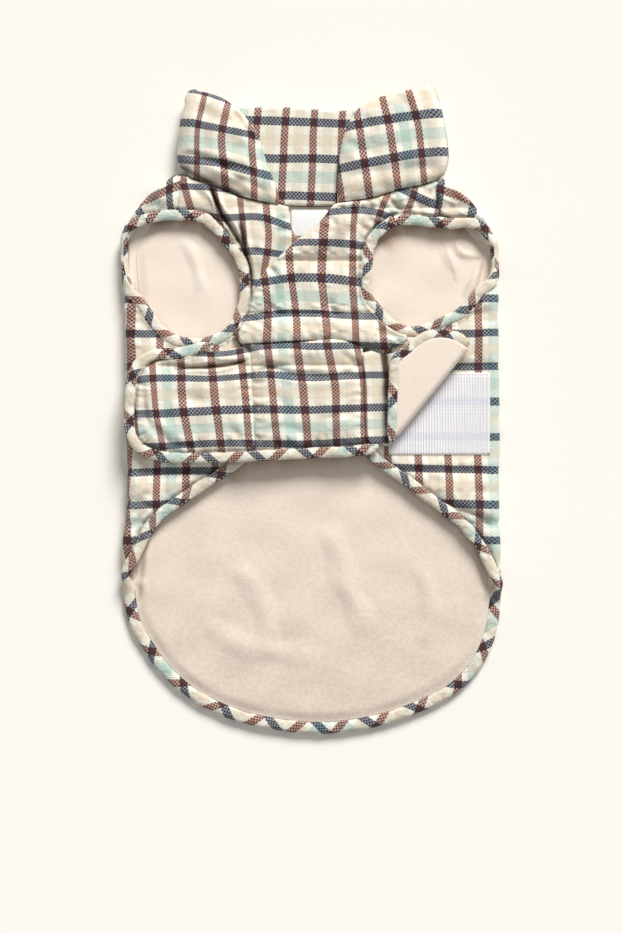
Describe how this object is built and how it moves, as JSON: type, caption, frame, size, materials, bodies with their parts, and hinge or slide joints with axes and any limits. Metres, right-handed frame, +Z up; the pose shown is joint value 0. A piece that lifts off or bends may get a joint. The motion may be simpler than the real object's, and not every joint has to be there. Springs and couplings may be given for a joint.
{
  "type": "dog winter coat",
  "caption": "Quilted padded dog coat with a tall folded collar, two leg openings, a belly band that closes over the side wings, and a fleece inside, laid flat belly side up.",
  "frame": {"origin": "centre of the laid-out coat's footprint, on the surface it lies on", "axes": "+Z up from the surface, towards the belly side; +Y towards the collar; +X to the right as seen from above"},
  "size_m": [0.2475, 0.4176, 0.0245],
  "materials": {
    "plaid_shell": "woven check shell, cream with brick brown and navy lines, slight sheen",
    "bias_binding": "the same check cut on the bias and folded over the edge",
    "fleece": "short beige fleece",
    "tape": "pale woven hook tape with fine ribs",
    "label": "smooth white woven label"
  },
  "bodies": {
    "root": {"back_shell": "plaid_shell", "back_lining": "fleece", "chest_left": "plaid_shell", "chest_right": "plaid_shell", "belly": "plaid_shell", "flap_left": "plaid_shell", "flap_right": "plaid_shell", "flap_right_lining": "fleece", "collar": "plaid_shell", "binding_arm_left": "bias_binding", "binding_arm_right": "bias_binding", "binding_hem": "bias_binding", "binding_band": "bias_binding", "binding_corner": "bias_binding", "hook_tape": "tape", "label": "label"}
  },
  "joints": []
}
